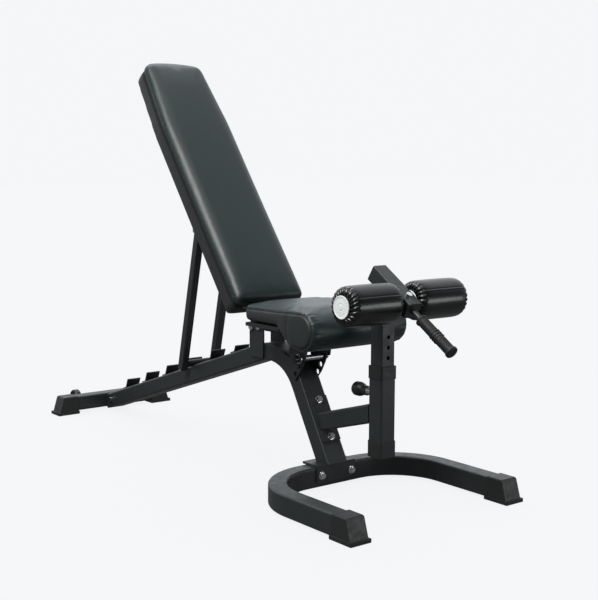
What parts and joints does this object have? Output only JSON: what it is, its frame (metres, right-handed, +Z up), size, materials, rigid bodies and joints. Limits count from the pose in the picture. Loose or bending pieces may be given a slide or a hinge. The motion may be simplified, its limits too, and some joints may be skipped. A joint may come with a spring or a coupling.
{
  "type": "decline sit up bench",
  "caption": "Adjustable decline sit-up bench: padded back on a laddered spine, padded seat with a front roll, height-adjustable leg rollers, U-shaped front base and a wheeled rear bar.",
  "frame": {"origin": "centre of the bounding box at floor level, under the feet", "axes": "+Z up; +Y along the bench from the leg rollers towards the backrest's head end; +X to the left of a person sitting with their feet at the rollers"},
  "size_m": [0.589, 1.794, 1.1916],
  "materials": {
    "powder_coat": "satin",
    "pad_cover": "satin",
    "roller_cover": "gloss",
    "roller_hub": "satin",
    "plated_steel": "polished",
    "black_plastic": "matte",
    "grip_rubber": "matte",
    "board": "matte"
  },
  "bodies": {
    "frame": {"spine_tube": "powder_coat", "front_base_tube": "powder_coat", "front_foot_left": "black_plastic", "front_foot_right": "black_plastic", "rear_stabiliser": "powder_coat", "rear_foot_left": "black_plastic", "rear_foot_right": "black_plastic", "leg_saddle": "powder_coat", "saddle_bolts": "plated_steel", "ladder_catches": "powder_coat", "pivot_plates": "powder_coat", "sector_plates": "powder_coat", "cross_bar": "powder_coat", "flange_bolts": "plated_steel", "outer_post": "powder_coat", "post_collar": "black_plastic", "post_bottom_cap": "black_plastic", "pop_barrel": "powder_coat", "rear_cross_bolt": "plated_steel", "wheel_brackets": "powder_coat", "wheel_axles": "plated_steel", "seat_pivot_bolt": "plated_steel", "back_pivot_bolt": "plated_steel"},
    "backrest": {"back_frame": "powder_coat", "back_board": "board", "back_cushion": "pad_cover", "back_screws": "plated_steel"},
    "strut": {"strut_frame": "powder_coat", "strut_plugs": "black_plastic", "strut_pivot_bolt": "plated_steel"},
    "seat": {"seat_frame": "powder_coat", "seat_board": "board", "seat_cushion": "pad_cover", "seat_screws": "plated_steel"},
    "seat_lock": {"seat_pin": "plated_steel", "seat_pin_knob": "black_plastic"},
    "roller_post": {"inner_post": "powder_coat", "roller_arm": "powder_coat", "arm_plug": "black_plastic", "arm_bolt": "plated_steel", "roller_axle": "plated_steel", "grip_rod": "powder_coat", "grip_sleeve": "grip_rubber"},
    "pop_pin": {"pop_plunger": "plated_steel", "pop_knob": "black_plastic"},
    "left_roller": {"roller_left_sleeve": "roller_cover", "roller_left_hub": "roller_hub"},
    "right_roller": {"roller_right_sleeve": "roller_cover", "roller_right_hub": "roller_hub"},
    "left_wheel": {"wheel_left": "black_plastic"},
    "right_wheel": {"wheel_right": "black_plastic"}
  },
  "joints": [
    {"name": "backrest_tilt", "type": "hinge", "parent": "frame", "child": "backrest", "pos_m": [0, -0.124, 0.405], "axis": [1, 0, 0], "range_deg": [0, 17]},
    {"name": "strut_swing", "type": "hinge", "parent": "backrest", "child": "strut", "pos_m": [0, 0.12685, 0.67488], "axis": [1, 0, 0], "range_deg": [-17, 0]},
    {"name": "seat_tilt", "type": "hinge", "parent": "frame", "child": "seat", "pos_m": [0, -0.16, 0.409], "axis": [-1, 0, 0], "range_deg": [0, 6]},
    {"name": "seat_pin_pull", "type": "slide", "parent": "frame", "child": "seat_lock", "axis": [-1, 0, 0], "range_m": [0, 0.12]},
    {"name": "post_height", "type": "slide", "parent": "frame", "child": "roller_post", "axis": [0, 0, 1], "range_m": [-0.081, 0.054]},
    {"name": "pop_pin_pull", "type": "slide", "parent": "frame", "child": "pop_pin", "axis": [0, 1, 0], "range_m": [0, 0.008], "stiffness_N_per_m": 1200, "springref_m": -0.004},
    {"name": "left_roller_spin", "type": "hinge", "parent": "roller_post", "child": "left_roller", "pos_m": [0.1, -0.709, 0.53], "axis": [1, 0, 0], "continuous": true},
    {"name": "right_roller_spin", "type": "hinge", "parent": "roller_post", "child": "right_roller", "pos_m": [-0.1, -0.709, 0.53], "axis": [1, 0, 0], "continuous": true},
    {"name": "left_wheel_spin", "type": "hinge", "parent": "frame", "child": "left_wheel", "pos_m": [0.118, 0.87, 0.042], "axis": [1, 0, 0], "continuous": true},
    {"name": "right_wheel_spin", "type": "hinge", "parent": "frame", "child": "right_wheel", "pos_m": [-0.118, 0.87, 0.042], "axis": [1, 0, 0], "continuous": true}
  ],
  "couplings": [
    {"joint": "strut_swing", "follows": "backrest_tilt", "ratio": -1}
  ]
}
